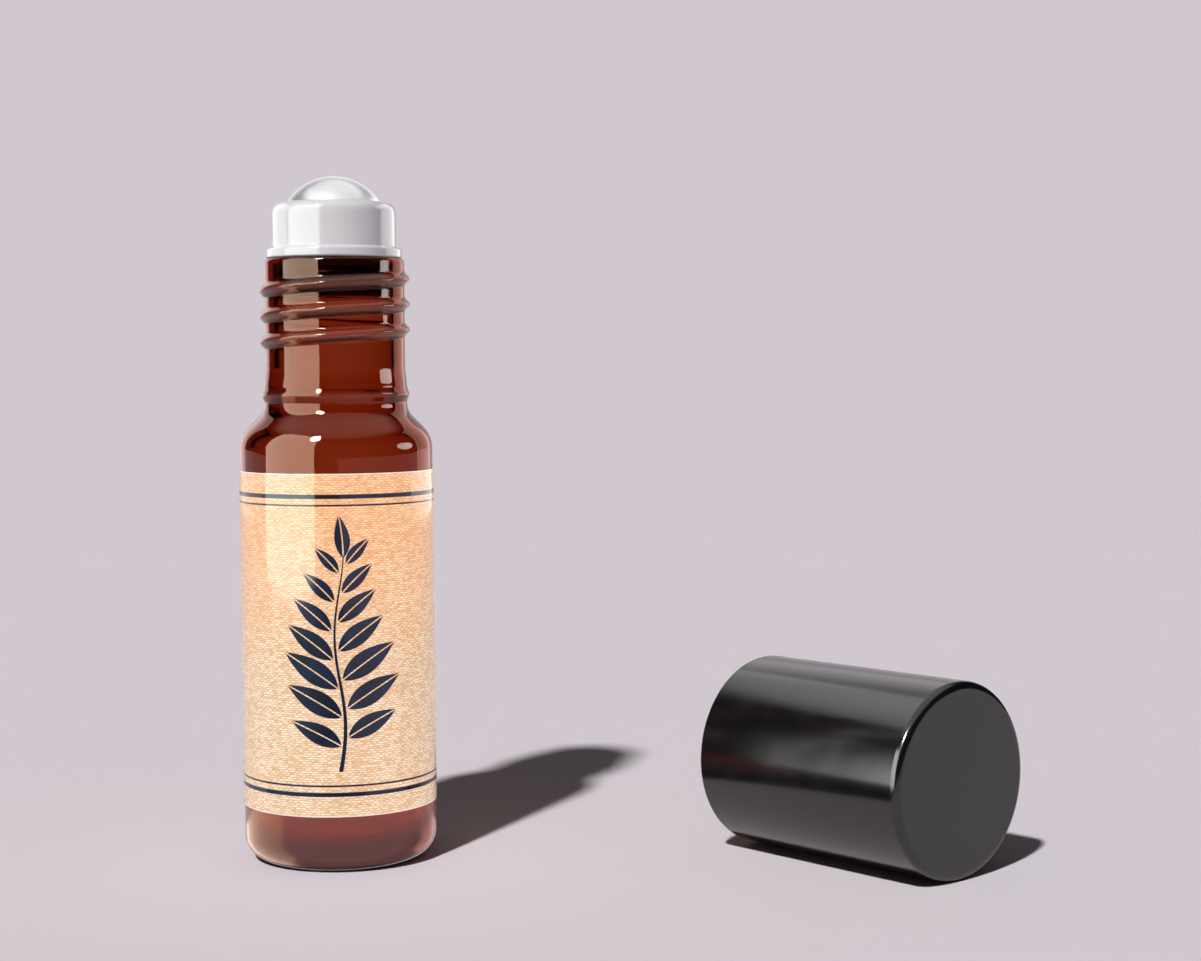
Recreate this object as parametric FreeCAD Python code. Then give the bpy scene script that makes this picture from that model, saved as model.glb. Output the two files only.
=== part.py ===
import FreeCAD, Part
import math
import os

os.makedirs("parts", exist_ok=True)

# All sizes are in millimetres and all angles in degrees.
# The bottle stands on z = 0 with its axis on Z. The cap lies beside it with its axis along X.

# Glass bottle: body
BODY_OD = 20.0              # outside diameter of the body
BODY_WALL = 1.4             # thickness of the side wall
HEEL_R = 2.6                # rounding between the side and the foot
FOOT_WIDTH = 1.3            # width of the flat ring that the bottle stands on
FOOT_EDGE_R = 0.35          # rounding on the inner edge of that ring
PUSH_UP = 0.7               # depth of the hollow under the base
PUSH_UP_RUN = 2.2           # width of the slope around that hollow
PUSH_UP_R = 1.2             # rounding where the slope meets the hollow's top
BASE_THICK = 1.9            # glass over the hollow under the base
INNER_HEEL_R = 2.4          # rounding inside, between the side and the floor
SHOULDER_Z = 44.2           # height where the side line meets the shoulder's slope
SHOULDER_R = 1.5            # rounding between the side and the shoulder
INNER_SHOULDER_R = 1.6      # the same rounding inside

# Glass bottle: neck
NECK_OD = 14.5              # outside diameter between the threads
NECK_FOOT_OD = 14.84        # outside diameter at the foot of the neck
NECK_FOOT_ROUND = 0.6       # rounding between the shoulder and the neck
NECK_LEN = 15.82            # from the top of the shoulder's slope to the lip
NECK_BORE = 11.8            # inside diameter
LIP_R = 0.45                # rounding on the outer edge of the lip
LIP_BORE_R = 0.3            # rounding on the inner edge of the lip
BORE_END_R = 1.2            # rounding where the bore opens into the body
BEAD_OD = 15.3              # outside diameter of the transfer bead
BEAD_RISE = 1.75            # bead's middle above the foot of the neck
BEAD_HEIGHT = 1.5           # bead's height where it leaves the neck
BEAD_FLANK = 0.42           # height of each sloping side of the bead
BEAD_EDGE_R = 0.25          # rounding on the bead's edges
BEAD_ROOT_R = 0.15          # rounding where the bead leaves the neck
NECK_TAPER_RISE = 3.4       # start of the slight taper above the foot of the neck
NECK_TAPER_LEN = 1.2        # length of that taper
NECK_TAPER_R = 0.6          # rounding at both ends of that taper

# Screw thread shared by the neck and the cap, right hand, one start
THREAD_PITCH = 2.65
THREAD_DEPTH = 0.55         # height of a ridge above the wall that carries it
THREAD_WIDTH = 1.35         # width of a ridge at that wall
THREAD_ROOT = 0.28          # depth that a ridge is rooted in that wall
NECK_TURNS = 2.84           # turns of the ridge on the neck
NECK_THREAD_DROP = 5.35     # middle of the ridge's length below the lip
CAP_TURNS = 2.2             # turns of the ridge in the cap
FADE_TURN = 0.16            # part of a turn over which a ridge sinks into its wall

# Label
LABEL_FRONT = -35.0         # direction that the label's middle faces, from +X
LABEL_BOTTOM = 5.95         # height of the lower edge
LABEL_HEIGHT = 34.75
LABEL_THICK = 0.10
LABEL_WRAP = 344.0          # angle that the label covers
GLUE_GAP = 0.02             # film of adhesive under the label

# Roller fitment
BALL_DIA = 11.4
BALL_RISE = 2.85            # ball's middle above the lip of the glass
BALL_CLEAR = 0.05           # gap between the ball and its socket
HOUSING_OD = 12.85
HOUSING_RISE = 5.8          # top of the housing above the lip of the glass
HOUSING_EDGE_R = 1.1        # rounding on the upper outer edge
HOUSING_ROOT_R = 0.2        # rounding where the housing meets its flange
MOUTH_BEVEL = 0.16          # bevel on the retaining lip around the ball
FLANGE_OD = 14.05           # flange that rests on the lip of the glass
FLANGE_THICK = 1.03
FLANGE_EDGE_R = 0.22
PLUG_DEPTH = 4.0            # length of the plug below the lip of the glass
PLUG_CLEAR = 0.03           # gap between the sealing ribs and the neck's bore
PLUG_RIB = 0.09             # height of a sealing rib
PLUG_RIBS = 3               # sealing ribs along the plug
PLUG_LEAD = 0.5             # bevel that starts the plug into the bore
FEED_HOLE_DIA = 3.0         # hole in the seat under the ball
FEED_SLOTS = 4              # slots around that hole
FEED_SLOT_W = 0.8
FEED_SLOT_REACH = 3.2       # outer end of a slot from the axis

# Cap and its seal
CAP_OD = 20.0
CAP_TOP = 1.7               # thickness of the closed end
CAP_EDGE_R = 0.8            # rounding on the closed end
CAP_RIM_R = 0.3             # rounding on the rim
CAP_SHOULDER_GAP = 0.25     # gap between the rim and the shoulder when screwed on
CAP_BORE_CLEAR = 0.14       # gap between the neck's ridge and the cap's bore
CAP_CREST_CLEAR = 0.13      # gap between the cap's ridge and the neck
SEAL_THICK = 1.2
SEAL_DISH = 0.3             # depth of the dish that meets the ball
SEAL_SIDE_GAP = 0.08        # gap between the seal's rim and the bore
SEAL_GAP = 0.02             # gap over the seal, and between seal and ball when screwed on
SEAL_EDGE_R = 0.12          # rounding on the seal's edges
SEAL_KEEPER = 0.22          # height of the bead that keeps the seal in
KEEPER_EDGE_R = 0.08        # rounding on that bead
CAP_REST_X = 26.2           # plane of the cap's rim where it lies
CAP_REST_Y = 37.3           # line of the cap's axis where it lies

# Values that follow from the sizes above
BODY_R = BODY_OD / 2.0
INNER_R = BODY_R - BODY_WALL
FLOOR_Z = PUSH_UP + BASE_THICK
NECK_R = NECK_OD / 2.0
NECK_FOOT_R = NECK_FOOT_OD / 2.0
BORE_R = NECK_BORE / 2.0
NECK_FOOT_Z = SHOULDER_Z + BODY_R - NECK_FOOT_R
LIP_Z = NECK_FOOT_Z + NECK_LEN
BALL_R = BALL_DIA / 2.0
SOCKET_R = BALL_R + BALL_CLEAR
BALL_Z = LIP_Z + BALL_RISE
HOUSING_TOP_Z = LIP_Z + HOUSING_RISE
PLUG_R = BORE_R - PLUG_CLEAR - PLUG_RIB
CREST_R = NECK_R + THREAD_DEPTH
CAP_BORE_R = CREST_R + CAP_BORE_CLEAR
CAP_CREST_R = NECK_R + CAP_CREST_CLEAR
CAP_RIM_Z = NECK_FOOT_Z + CAP_SHOULDER_GAP
SEAL_LOW_Z = BALL_Z + BALL_R + SEAL_GAP - SEAL_DISH - CAP_RIM_Z
CAP_CEILING = SEAL_LOW_Z + SEAL_THICK + SEAL_GAP
CAP_LEN = CAP_CEILING + CAP_TOP

AXIS = FreeCAD.Vector(0, 0, 1)
ORIGIN = FreeCAD.Vector(0, 0, 0)


def rounded_wire(points):
    """Closed wire in the XZ plane from (radius, height, corner rounding) points."""
    corners = []
    count = len(points)
    for i in range(count):
        r, z, fillet = points[i]
        here = FreeCAD.Vector(r, 0, z)
        if fillet <= 0:
            corners.append((here, None, here))
            continue
        before = FreeCAD.Vector(points[i - 1][0], 0, points[i - 1][1])
        after = FreeCAD.Vector(points[(i + 1) % count][0], 0, points[(i + 1) % count][1])
        to_before = (before - here).normalize()
        to_after = (after - here).normalize()
        half = to_before.getAngle(to_after) / 2.0
        reach = fillet / math.tan(half)
        bisector = (to_before + to_after).normalize()
        middle = here + bisector * (fillet / math.sin(half) - fillet)
        corners.append((here + to_before * reach, middle, here + to_after * reach))
    edges = []
    for i in range(count):
        start, middle, end = corners[i]
        if middle is not None:
            edges.append(Part.Arc(start, middle, end).toShape())
        following = corners[(i + 1) % count][0]
        if end.distanceToPoint(following) > 1e-6:
            edges.append(Part.makeLine(end, following))
    return Part.Wire(edges)


def turned(points, angle=360.0):
    """Solid of revolution about Z from a rounded profile."""
    return Part.Face(rounded_wire(points)).revolve(ORIGIN, AXIS, angle)


def screw_ridge(wall_r, crest_r, first_z, first_deg, turns):
    """Round-backed helical ridge on a wall, sinking into the wall at both ends."""
    outward = 1.0 if crest_r > wall_r else -1.0
    sink = THREAD_DEPTH * 1.12
    steps = int(turns * 28)
    path = []
    for i in range(steps + 1):
        turn = turns * i / steps
        ends = min(turn, turns - turn) / FADE_TURN
        fade = 1.0 - math.sin(min(1.0, ends) * math.pi / 2.0)
        radius = wall_r - outward * sink * fade
        angle = math.radians(first_deg) + 2.0 * math.pi * turn
        height = first_z + THREAD_PITCH * turn
        path.append(FreeCAD.Vector(radius * math.cos(angle), radius * math.sin(angle), height))
    curve = Part.BSplineCurve()
    curve.interpolate(path)
    spine = Part.Wire([curve.toShape()])
    start = path[0]
    radial = FreeCAD.Vector(start.x, start.y, 0).normalize() * outward
    half = THREAD_WIDTH / 2.0
    reach = abs(crest_r - wall_r)
    low = start - radial * THREAD_ROOT - AXIS * (half + THREAD_ROOT * 0.35)
    high = start - radial * THREAD_ROOT + AXIS * (half + THREAD_ROOT * 0.35)
    crest = start + radial * reach
    section = Part.Wire([Part.Arc(low, crest, high).toShape(), Part.makeLine(high, low)])
    sweep = Part.BRepOffsetAPI.MakePipeShell(spine)
    sweep.setBiNormalMode(AXIS)
    sweep.add(section)
    sweep.build()
    sweep.makeSolid()
    return sweep.shape()


def neck_ridge_height(angle_deg):
    """Height of the neck's ridge, middle turn, at a direction from the label's front."""
    return LIP_Z - NECK_THREAD_DROP + THREAD_PITCH * (angle_deg - LABEL_FRONT) / 360.0


def make_bottle():
    inner_slope = math.sqrt(2.0) * BODY_WALL
    slope_sum = BODY_R + SHOULDER_Z - inner_slope
    foot_r = BODY_R - HEEL_R - FOOT_WIDTH
    bead_low = NECK_FOOT_Z + BEAD_RISE - BEAD_HEIGHT / 2.0
    bead_high = NECK_FOOT_Z + BEAD_RISE + BEAD_HEIGHT / 2.0
    bead_r = BEAD_OD / 2.0
    taper_z = NECK_FOOT_Z + NECK_TAPER_RISE
    glass = turned([
        (0.0, PUSH_UP, 0.0),
        (foot_r - PUSH_UP_RUN, PUSH_UP, PUSH_UP_R),
        (foot_r, 0.0, FOOT_EDGE_R),
        (BODY_R, 0.0, HEEL_R),
        (BODY_R, SHOULDER_Z, SHOULDER_R),
        (NECK_FOOT_R, NECK_FOOT_Z, NECK_FOOT_ROUND),
        (NECK_FOOT_R, bead_low, BEAD_ROOT_R),
        (bead_r, bead_low + BEAD_FLANK, BEAD_EDGE_R),
        (bead_r, bead_high - BEAD_FLANK, BEAD_EDGE_R),
        (NECK_FOOT_R, bead_high, BEAD_ROOT_R),
        (NECK_FOOT_R, taper_z, NECK_TAPER_R),
        (NECK_R, taper_z + NECK_TAPER_LEN, NECK_TAPER_R),
        (NECK_R, LIP_Z, LIP_R),
        (BORE_R, LIP_Z, LIP_BORE_R),
        (BORE_R, slope_sum - BORE_R, BORE_END_R),
        (INNER_R, slope_sum - INNER_R, INNER_SHOULDER_R),
        (INNER_R, FLOOR_Z, INNER_HEEL_R),
        (0.0, FLOOR_Z, 0.0),
    ])
    first = LABEL_FRONT - 180.0 * NECK_TURNS
    ridge = screw_ridge(NECK_R, CREST_R, neck_ridge_height(first), first, NECK_TURNS)
    return glass.fuse(ridge).removeSplitter()


def make_label():
    inner = BODY_R + GLUE_GAP
    outer = inner + LABEL_THICK
    top = LABEL_BOTTOM + LABEL_HEIGHT
    sheet = turned([
        (inner, LABEL_BOTTOM, 0.0),
        (outer, LABEL_BOTTOM, 0.0),
        (outer, top, 0.0),
        (inner, top, 0.0),
    ], LABEL_WRAP)
    sheet.rotate(ORIGIN, AXIS, LABEL_FRONT - LABEL_WRAP / 2.0)
    return sheet


def make_housing():
    plug_z = LIP_Z - PLUG_DEPTH
    profile = [
        (0.0, plug_z, 0.0),
        (PLUG_R - PLUG_LEAD * 0.6, plug_z, 0.0),
        (PLUG_R, plug_z + PLUG_LEAD, 0.0),
    ]
    rib_step = (PLUG_DEPTH - PLUG_LEAD) / PLUG_RIBS
    for i in range(PLUG_RIBS):
        middle = plug_z + PLUG_LEAD + rib_step * (i + 0.5)
        profile.append((PLUG_R, middle - rib_step * 0.32, 0.0))
        profile.append((PLUG_R + PLUG_RIB, middle - rib_step * 0.14, 0.0))
        profile.append((PLUG_R + PLUG_RIB, middle + rib_step * 0.14, 0.0))
        profile.append((PLUG_R, middle + rib_step * 0.32, 0.0))
    flange_r = FLANGE_OD / 2.0
    housing_r = HOUSING_OD / 2.0
    profile += [
        (PLUG_R, LIP_Z, 0.0),
        (flange_r, LIP_Z, FLANGE_EDGE_R),
        (flange_r, LIP_Z + FLANGE_THICK, FLANGE_EDGE_R),
        (housing_r, LIP_Z + FLANGE_THICK, HOUSING_ROOT_R),
        (housing_r, HOUSING_TOP_Z, HOUSING_EDGE_R),
        (0.0, HOUSING_TOP_Z, 0.0),
    ]
    body = turned(profile)
    centre = FreeCAD.Vector(0, 0, BALL_Z)
    socket = Part.makeSphere(SOCKET_R, centre)
    bevel_z = HOUSING_TOP_Z - MOUTH_BEVEL
    bevel_low_r = math.sqrt(SOCKET_R ** 2 - (bevel_z - BALL_Z) ** 2)
    bevel = Part.makeCone(bevel_low_r, bevel_low_r + MOUTH_BEVEL * 0.7, MOUTH_BEVEL,
                          FreeCAD.Vector(0, 0, bevel_z))
    feed_len = BALL_Z - plug_z
    feed = [Part.makeCylinder(FEED_HOLE_DIA / 2.0, feed_len + 1.0, FreeCAD.Vector(0, 0, plug_z - 1.0))]
    for i in range(FEED_SLOTS):
        slot = Part.makeBox(FEED_SLOT_REACH, FEED_SLOT_W, feed_len + 1.0,
                            FreeCAD.Vector(0, -FEED_SLOT_W / 2.0, plug_z - 1.0))
        slot.rotate(ORIGIN, AXIS, 360.0 * i / FEED_SLOTS + 45.0)
        feed.append(slot)
    return body.cut([socket, bevel] + feed)


def make_ball():
    return Part.makeSphere(BALL_R, FreeCAD.Vector(0, 0, BALL_Z))


def lay_down(shape):
    """Turn a cap piece from upright, rim at z = 0, to its place on its side."""
    shape.rotate(ORIGIN, FreeCAD.Vector(0, 1, 0), 90.0)
    shape.translate(FreeCAD.Vector(CAP_REST_X, CAP_REST_Y, CAP_OD / 2.0))
    return shape


def make_cap():
    outer = CAP_OD / 2.0
    keeper_z = SEAL_LOW_Z - SEAL_GAP
    keeper_r = CAP_BORE_R - SEAL_KEEPER
    shell = turned([
        (CAP_BORE_R, 0.0, CAP_RIM_R),
        (outer, 0.0, CAP_RIM_R),
        (outer, CAP_LEN, CAP_EDGE_R),
        (0.0, CAP_LEN, 0.0),
        (0.0, CAP_CEILING, 0.0),
        (CAP_BORE_R, CAP_CEILING, 0.0),
        (CAP_BORE_R, keeper_z, 0.0),
        (keeper_r, keeper_z - SEAL_KEEPER, KEEPER_EDGE_R),
        (keeper_r, keeper_z - SEAL_KEEPER * 2.0, KEEPER_EDGE_R),
        (CAP_BORE_R, keeper_z - SEAL_KEEPER * 4.0, 0.0),
    ])
    first = LABEL_FRONT - 180.0 * CAP_TURNS
    half_pitch = THREAD_PITCH / 2.0
    first_z = neck_ridge_height(first) - half_pitch - CAP_RIM_Z
    ridge = screw_ridge(CAP_BORE_R, CAP_CREST_R, first_z, first, CAP_TURNS)
    return lay_down(shell.fuse(ridge).removeSplitter())


def make_seal():
    seal_r = CAP_BORE_R - SEAL_SIDE_GAP
    disc = turned([
        (0.0, SEAL_LOW_Z, 0.0),
        (seal_r, SEAL_LOW_Z, SEAL_EDGE_R),
        (seal_r, SEAL_LOW_Z + SEAL_THICK, SEAL_EDGE_R),
        (0.0, SEAL_LOW_Z + SEAL_THICK, 0.0),
    ])
    dish_r = BALL_R + SEAL_GAP
    dish = Part.makeSphere(dish_r, FreeCAD.Vector(0, 0, SEAL_LOW_Z + SEAL_DISH - dish_r))
    return lay_down(disc.cut(dish))


PIECES = {
    "bottle_glass": make_bottle,
    "label": make_label,
    "roller_housing": make_housing,
    "roller_ball": make_ball,
    "cap_shell": make_cap,
    "cap_seal": make_seal,
}

for name, make in PIECES.items():
    shape = make()
    if shape.ShapeType == "Compound" and len(shape.Solids) == 1:
        shape = shape.Solids[0]
    if not shape.isValid() or len(shape.Solids) != 1:
        raise RuntimeError("piece %s is not one sound solid" % name)
    box = shape.BoundBox
    print("%s volume %.1f box %.2f..%.2f %.2f..%.2f %.2f..%.2f" % (
        name, shape.Volume, box.XMin, box.XMax, box.YMin, box.YMax, box.ZMin, box.ZMax))
    shape.exportStep("parts/%s.step" % name)
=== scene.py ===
import math

import bmesh
import bpy
from mathutils import Matrix, Vector


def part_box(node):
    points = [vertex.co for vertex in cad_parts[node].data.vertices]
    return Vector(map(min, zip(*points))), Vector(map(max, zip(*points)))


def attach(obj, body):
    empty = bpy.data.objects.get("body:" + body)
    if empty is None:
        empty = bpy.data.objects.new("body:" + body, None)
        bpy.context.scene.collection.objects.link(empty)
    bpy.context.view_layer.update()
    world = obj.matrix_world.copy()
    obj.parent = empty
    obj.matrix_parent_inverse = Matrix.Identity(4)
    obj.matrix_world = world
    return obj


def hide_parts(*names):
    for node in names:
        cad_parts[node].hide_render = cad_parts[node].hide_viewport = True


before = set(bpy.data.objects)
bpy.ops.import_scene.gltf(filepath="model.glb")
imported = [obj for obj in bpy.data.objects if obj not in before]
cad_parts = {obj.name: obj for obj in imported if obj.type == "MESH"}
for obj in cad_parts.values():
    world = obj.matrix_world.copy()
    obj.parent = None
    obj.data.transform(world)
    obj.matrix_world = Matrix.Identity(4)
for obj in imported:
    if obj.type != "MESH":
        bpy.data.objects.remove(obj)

bl_info = {
    "name": "Amber Roll-On Bottle",
    "version": (1, 0, 0),
    "blender": (4, 5, 0),
    "location": "View3D > Sidebar > Roll-On Bottle",
    "description": "Dresses a roll-on bottle with its label, fitment and cap, in a small studio",
    "category": "Object",
}

MM = 0.001
MERGE = 1e-7
CREASE = math.radians(60.0)
GLASS_IOR = 1.5
CAP_IOR = 1.7
# Watts per square metre that give a panel a radiance of one
PANEL_WATTS = 4.0
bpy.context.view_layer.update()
GLASS_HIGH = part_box("bottle_glass")[1]
LABEL_LOW, LABEL_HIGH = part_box("label")


def length(name, metres, description):
    """Setting for a length in metres."""
    return bpy.props.FloatProperty(
        name=name, description=description, default=metres, unit="LENGTH", precision=5)


def turn(name, degrees, description):
    """Setting for an angle, given here in degrees."""
    return bpy.props.FloatProperty(
        name=name, description=description, default=math.radians(degrees), subtype="ANGLE")


def amount(name, value, description):
    """Setting for a plain number."""
    return bpy.props.FloatProperty(name=name, description=description, default=value, precision=4)


def count(name, value, description):
    """Setting for a whole number."""
    return bpy.props.IntProperty(name=name, description=description, default=value, min=1)


def colour(name, rgb, description):
    """Setting for a linear colour."""
    return bpy.props.FloatVectorProperty(
        name=name, description=description, default=rgb, size=3, min=0.0, subtype="COLOR")


def place(name, metres, description):
    """Setting for a point in the object's frame."""
    return bpy.props.FloatVectorProperty(
        name=name, description=description, default=metres, size=3, subtype="TRANSLATION", precision=5)


class GlassSettings(bpy.types.PropertyGroup):
    """Sizes and tint of the glass bottle"""
    body_radius: length("Body Radius", GLASS_HIGH.x, "Outside radius of the body")
    lip_height: length("Lip Height", GLASS_HIGH.z, "Height of the lip above the foot")
    wall: length("Wall", 1.4 * MM, "Thickness of the side wall")
    heel: length("Heel", 2.6 * MM, "Rounding between the side and the foot")
    foot_width: length("Foot Width", 1.3 * MM, "Width of the flat ring that the bottle stands on")
    foot_edge: length("Foot Edge", 0.35 * MM, "Rounding on the inner edge of that ring")
    push_up: length("Push-Up", 0.7 * MM, "Depth of the hollow under the base")
    push_up_run: length("Push-Up Run", 2.2 * MM, "Width of the slope around that hollow")
    base: length("Base", 1.9 * MM, "Glass over the hollow under the base")
    inner_heel: length("Inner Heel", 2.4 * MM, "Rounding inside, between the side and the floor")
    shoulder: length("Shoulder Height", 44.2 * MM, "Height where the side meets the shoulder's slope")
    shoulder_round: length("Shoulder Round", 3.2 * MM, "Rounding between the side and the shoulder")
    neck_radius: length("Neck Radius", 7.25 * MM, "Outside radius of the neck between the threads")
    neck_foot: length("Neck Foot Radius", 7.42 * MM, "Outside radius at the foot of the neck")
    neck_foot_round: length("Neck Foot Round", 1.9 * MM, "Rounding between the shoulder and the neck")
    taper_rise: length("Taper Rise", 2.95 * MM, "Start of the neck's slight taper above its foot")
    taper_length: length("Taper Length", 1.3 * MM, "Length of that taper")
    taper_round: length("Taper Round", 3.0 * MM, "Rounding at both ends of that taper")
    bore: length("Bore Radius", 5.9 * MM, "Inside radius of the neck")
    lip_round: length("Lip Round", 0.45 * MM, "Rounding on the outer edge of the lip")
    lip_bore_round: length("Lip Bore Round", 0.3 * MM, "Rounding on the inner edge of the lip")
    bead_radius: length("Bead Radius", 7.65 * MM, "Outside radius of the transfer bead")
    bead_rise: length("Bead Rise", 1.75 * MM, "Middle of the bead above the foot of the neck")
    bead_height: length("Bead Height", 1.5 * MM, "Height of the bead where it leaves the neck")
    bead_flank: length("Bead Flank", 0.60 * MM, "Height of each sloping side of the bead")
    bead_edge: length("Bead Edge", 0.45 * MM, "Rounding on the bead's edges")
    bead_root: length("Bead Root", 0.60 * MM, "Rounding where the bead leaves the neck")
    pitch: length("Thread Pitch", 2.65 * MM, "Rise of the screw thread in one turn")
    ridge_height: length("Thread Height", 0.55 * MM, "Height of the thread above the neck")
    ridge_half: length("Thread Half Width", 0.86 * MM, "From the thread's crest to the foot of its flank")
    ridge_turns: amount("Thread Turns", 2.84, "Turns of the thread on the neck")
    ridge_drop: length("Thread Drop", 5.35 * MM, "Middle of the thread's length below the lip")
    ridge_fade: amount("Thread Fade", 0.16, "Part of a turn over which the thread sinks into the neck")
    steps: count("Steps Around", 256, "Facets around the axis")
    tint: colour("Tint", (0.745, 0.294, 0.0), "Colour that the glass lets through")
    density: amount("Tint Density", 1743.0, "Strength of the tint, per metre of glass")
    sheen: colour("Sheen", (1.0, 0.62, 0.42), "Warm cast of reflections on the glass")
    # Glow painted on the glass as emission, on the thick heel and on the thread and bead
    painted_heel_glow: colour("Painted Heel Glow", (0.106, 0.043, 0.042), "Glow painted on the thick heel's outside")
    painted_ridge_glow: colour("Painted Ridge Glow", (0.082, 0.031, 0.023), "Glow painted on the thread and the bead")
    # Relief on the neck between which the glow painted on the thread and bead fades in
    ridge_low: length("Painted Ridge Glow Start", 0.08 * MM, "Relief on the neck where the painted glow starts")
    ridge_full: length("Painted Ridge Glow Full", 0.4 * MM, "Relief on the neck where the painted glow is full")
    # The heel's painted glow and its haze reach up to this height
    heel_glow: length("Heel Glow", 6.2 * MM, "Height to which the heel's painted glow and haze reach")
    heel_haze: amount("Heel Haze", 0.2, "Roughness of the thick moulded heel")


class LabelSettings(bpy.types.PropertyGroup):
    """Sizes and colours of the label and its print"""
    bottom: length("Bottom", LABEL_LOW.z, "Height of the lower edge")
    top: length("Top", LABEL_HIGH.z, "Height of the upper edge")
    front: turn("Front", -35.0, "Direction that the label's middle faces, from +X")
    wrap: turn("Wrap", 344.0, "Angle that the label covers")
    glue: length("Glue", 0.02 * MM, "Film of adhesive under the label")
    thickness: length("Thickness", 0.07 * MM, "Thickness of the label")
    steps: count("Steps Around", 240, "Facets along the label")
    warp: length("Warp Pitch", 0.333 * MM, "Spacing of the upright threads")
    weft: length("Weft Pitch", 0.235 * MM, "Spacing of the level threads")
    upper: colour("Upper Colour", (1.0, 0.72, 0.43), "Thread colour near the upper edge")
    lower: colour("Lower Colour", (1.0, 0.87, 0.68), "Thread colour near the lower edge")
    upper_gap: colour("Upper Gap Colour", (0.85, 0.37, 0.145), "Colour between threads near the upper edge")
    lower_gap: colour("Lower Gap Colour", (0.74, 0.42, 0.20), "Colour between threads near the lower edge")
    edge: colour("Edge Colour", (0.90, 0.83, 0.74), "Colour of the cut edge")
    ink: colour("Ink", (0.014, 0.026, 0.075), "Ink where it is thin")
    ink_dark: colour("Dark Ink", (0.006, 0.006, 0.012), "Ink where it is dense")
    ink_lift: length("Ink Lift", 0.005 * MM, "Gap between the label and the ink")
    ink_film: length("Ink Film", 0.012 * MM, "Thickness of the ink")
    sprig: length("Sprig Height", 25.5 * MM, "Height of the printed sprig")
    leaf_pairs: count("Leaf Pairs", 7, "Pairs of leaves on the sprig")
    leaf: length("Leaf Length", 6.9 * MM, "Length of the longest leaf")
    leaf_width: length("Leaf Width", 2.5 * MM, "Width of the longest leaf")
    stem: length("Stem Width", 0.42 * MM, "Width of the stem at its foot")
    rule: length("Rule Width", 0.42 * MM, "Width of the broad printed rule")
    rule_inset: length("Rule Inset", 2.3 * MM, "Distance of the broad rule from the label's edges")


class FitmentSettings(bpy.types.PropertyGroup):
    """Finish of the roller housing and the ball"""
    plastic: colour("Plastic", (0.86, 0.86, 0.875), "Colour of the moulded housing")
    plastic_gloss: amount("Plastic Roughness", 0.12, "Roughness of the moulded housing")
    steel: colour("Steel", (0.90, 0.90, 0.91), "Colour of the polished ball")
    steel_gloss: amount("Steel Roughness", 0.27, "Roughness of the polished ball")


class CapSettings(bpy.types.PropertyGroup):
    """Finish of the cap and its seal"""
    plastic: colour("Plastic", (0.0032, 0.003, 0.0034), "Colour of the cap")
    gloss: amount("Roughness", 0.16, "Roughness of the cap")
    foam: colour("Foam", (0.80, 0.79, 0.76), "Colour of the seal")


class StudioSettings(bpy.types.PropertyGroup):
    """Camera, floor and lights"""
    camera: place("Camera", (189.06 * MM, -133.9 * MM, 52.1 * MM), "Camera's place")
    target: place("Target", (26.2 * MM, 13.5 * MM, 39.9 * MM), "Point that the camera looks at")
    roll: turn("Roll", -0.33, "Turn of the camera about its own line of sight")
    lens: amount("Lens", 65.945, "Focal length in millimetres on a 36 mm sensor")
    backdrop: colour("Backdrop", (0.630, 0.578, 0.617), "Colour of the backdrop, and of the floor when lit")
    ceiling: colour("Ceiling", (0.86, 0.85, 0.86), "Brightness overhead, as gloss shows it")
    ambient: amount("Ambient", 0.068, "Soft light from all around")
    near_floor: length("Near Floor", -15.0 * MM, "Start of the floor that is kept out of reflections")
    side_floor: length("Side Floor", 22.0 * MM, "Distance to the right where that floor ends")
    # Painted shade under the bottle, on the floor's glow through the glass
    glow: amount("Glow", 0.75, "Brightness of the floor under the bottle, seen through the glass")
    glow_reach: length("Glow Reach", 13.0 * MM, "Radius of that patch of floor")
    fade_start: length("Fade Start", 0.3, "Distance where the floor begins to fade into the backdrop")
    fade_end: length("Fade End", 0.8, "Distance where the floor has become the backdrop")
    floor_gap: length("Floor Gap", 0.02 * MM, "Hair's breadth between the floor and the foot")
    key_azimuth: turn("Key Azimuth", 31.0, "Key light's angle to the left of the camera")
    key_height: turn("Key Height", 47.0, "Key light's angle above the floor")
    key_size: turn("Key Size", 3.2, "Key light's apparent size")
    key_power: amount("Key Power", 3.3, "Key light's strength")
    fitment_power: amount("Fitment Key Power", 2.45, "Key light's strength on the pale housing")
    label_power: amount("Label Key Power", 1.85, "Key light's strength on the label")
    fill_power: amount("Fill Power", 1.72, "Strength of the fill on the label")
    left_fill_power: amount("Left Fill Power", 1.2, "Strength of the fill on the label's left edge")
    panel_distance: length("Panel Distance", 0.5, "Distance of the soft panels from the bottle")
    eye_height: length("Eye Height", 35.0 * MM, "Height that the panels' angles are seen from")


# Meshes

def rounded_outline(corners, arc_steps=12):
    """Points of an outline. A corner is (radius, height, rounding, longest step on the run after it)."""
    arcs = []
    last = len(corners) - 1
    for i, (r, z, rounding, _) in enumerate(corners):
        here = Vector((r, z))
        if rounding <= 0.0 or i in (0, last):
            arcs.append([here])
            continue
        back = (Vector(corners[i - 1][:2]) - here).normalized()
        ahead = (Vector(corners[i + 1][:2]) - here).normalized()
        half = back.angle(ahead) / 2.0
        centre = here + (back + ahead).normalized() * (rounding / math.sin(half))
        start = here + back * (rounding / math.tan(half)) - centre
        end = here + ahead * (rounding / math.tan(half)) - centre
        sweep = math.atan2(start.x * end.y - start.y * end.x, start.dot(end))
        steps = max(3, round(arc_steps * abs(sweep) / (math.pi / 2.0)))
        arcs.append([centre + Matrix.Rotation(sweep * k / steps, 2) @ start for k in range(steps + 1)])
    points = []
    for i, arc in enumerate(arcs):
        points += arc
        if i < last:
            gap = arcs[i + 1][0] - arc[-1]
            pieces = max(1, math.ceil(gap.length / corners[i][3]))
            points += [arc[-1] + gap * (k / pieces) for k in range(1, pieces)]
    return points


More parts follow.
